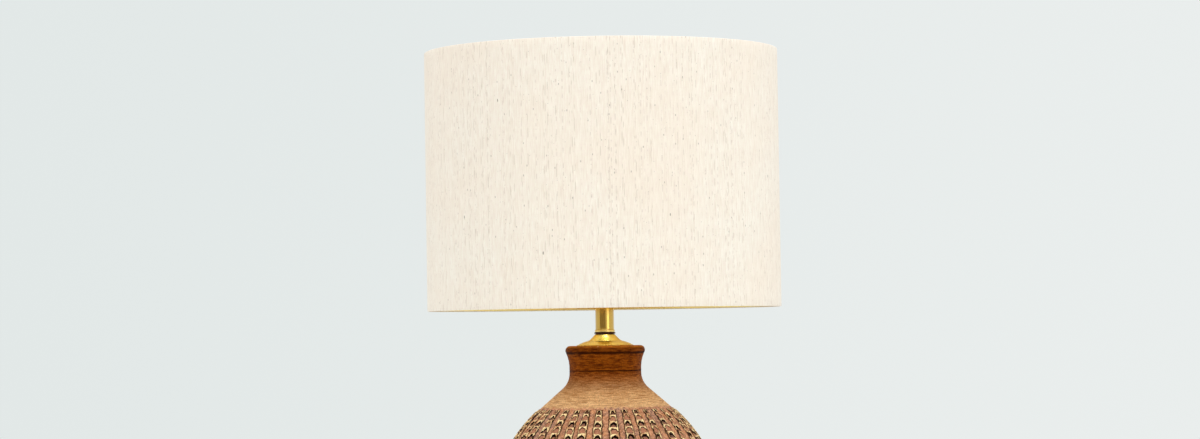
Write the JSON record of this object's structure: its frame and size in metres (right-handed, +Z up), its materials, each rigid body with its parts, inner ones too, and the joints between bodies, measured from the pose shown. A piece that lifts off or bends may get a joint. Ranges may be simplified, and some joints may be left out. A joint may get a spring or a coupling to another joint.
{
  "type": "table lamp",
  "caption": "Stoneware table lamp: a bulging vase with a carved band, brass stem, wire harp and a wide linen drum shade.",
  "frame": {"origin": "centre of the felt's underside, on the surface the lamp stands on", "axes": "+Z up along the lamp's axis, -Y towards the switch knob, the harp stands in the XZ plane"},
  "size_m": [0.3809, 0.381, 0.6893],
  "materials": {
    "stoneware": "satin brown and sand glaze",
    "linen": "slubbed plain weave",
    "gold_lining": "metallic gold laminate",
    "polished_brass": "polished",
    "antique_brass": "lacquered, slightly aged",
    "contact_brass": "plain",
    "zinc_steel": "zinc plated",
    "aluminium": "drawn",
    "frosted_glass": "frosted",
    "black_glass": "vitreous black",
    "porcelain": "glazed porcelain",
    "bakelite": "moulded, polished",
    "black_nylon": "moulded",
    "fibre": "pressed fibre",
    "card": "insulating card",
    "rubber": "soft",
    "felt": "pressed brown felt"
  },
  "bodies": {
    "base": {"foot_felt": "felt", "base_gasket": "rubber", "base_washer": "zinc_steel", "base_nut": "zinc_steel", "cord_bushing": "black_nylon", "ceramic_body": "stoneware", "lamp_pipe": "zinc_steel", "vase_cap": "polished_brass", "neck_washer": "fibre", "check_ring": "polished_brass", "neck_tube": "antique_brass", "seat_ring": "polished_brass", "harp_saddle": "antique_brass", "saddle_nut": "antique_brass", "socket_cap": "antique_brass", "cap_set_screw": "antique_brass", "socket_shell": "antique_brass", "socket_liner": "card", "socket_block": "porcelain", "terminal_screws": "polished_brass", "screw_shell": "contact_brass", "centre_contact": "contact_brass"},
    "knob": {"switch_spindle": "zinc_steel", "switch_knob": "bakelite"},
    "bulb_lift": {"bulb_contact": "contact_brass"},
    "bulb": {"bulb_insulator": "black_glass", "bulb_cap": "aluminium", "bulb_glass": "frosted_glass"},
    "harp": {"harp_wire": "antique_brass"},
    "sleeve_left": {"harp_sleeve_left": "antique_brass"},
    "sleeve_right": {"harp_sleeve_right": "antique_brass"},
    "shade": {"harp_swivel": "polished_brass", "shade_spider": "antique_brass", "shade_top_ring": "antique_brass", "shade_bottom_ring": "antique_brass", "shade_lining": "gold_lining", "shade_fabric": "linen"},
    "finial_lift": {"finial_washer": "polished_brass"},
    "finial": {"finial": "polished_brass"}
  },
  "joints": [
    {"name": "knob_turn", "type": "hinge", "parent": "base", "child": "knob", "pos_m": [0, -0.0185, 0.4653], "axis": [0, -1, 0], "continuous": true},
    {"name": "bulb_rise", "type": "slide", "parent": "base", "child": "bulb_lift", "axis": [0, 0, 1], "range_m": [0, 0.01815]},
    {"name": "bulb_turn", "type": "hinge", "parent": "bulb_lift", "child": "bulb", "pos_m": [0, 0, 0.48], "axis": [0, 0, 1], "range_deg": [0, 1800]},
    {"name": "harp_lift", "type": "slide", "parent": "base", "child": "harp", "axis": [0, 0, 1], "range_m": [0, 0.05]},
    {"name": "sleeve_left_lift", "type": "slide", "parent": "harp", "child": "sleeve_left", "axis": [0, 0, 1], "range_m": [0, 0.013]},
    {"name": "sleeve_right_lift", "type": "slide", "parent": "harp", "child": "sleeve_right", "axis": [0, 0, 1], "range_m": [0, 0.013]},
    {"name": "shade_turn", "type": "hinge", "parent": "harp", "child": "shade", "pos_m": [0, 0, 0.6646], "axis": [0, 0, 1], "continuous": true},
    {"name": "finial_rise", "type": "slide", "parent": "shade", "child": "finial_lift", "axis": [0, 0, 1], "range_m": [0, 0.00471]},
    {"name": "finial_turn", "type": "hinge", "parent": "finial_lift", "child": "finial", "pos_m": [0, 0, 0.667], "axis": [0, 0, 1], "range_deg": [0, 1800]}
  ],
  "couplings": [
    {"joint": "bulb_rise", "follows": "bulb_turn", "m_per_rad": 0.00057751},
    {"joint": "finial_rise", "follows": "finial_turn", "m_per_rad": 0.00014972}
  ]
}
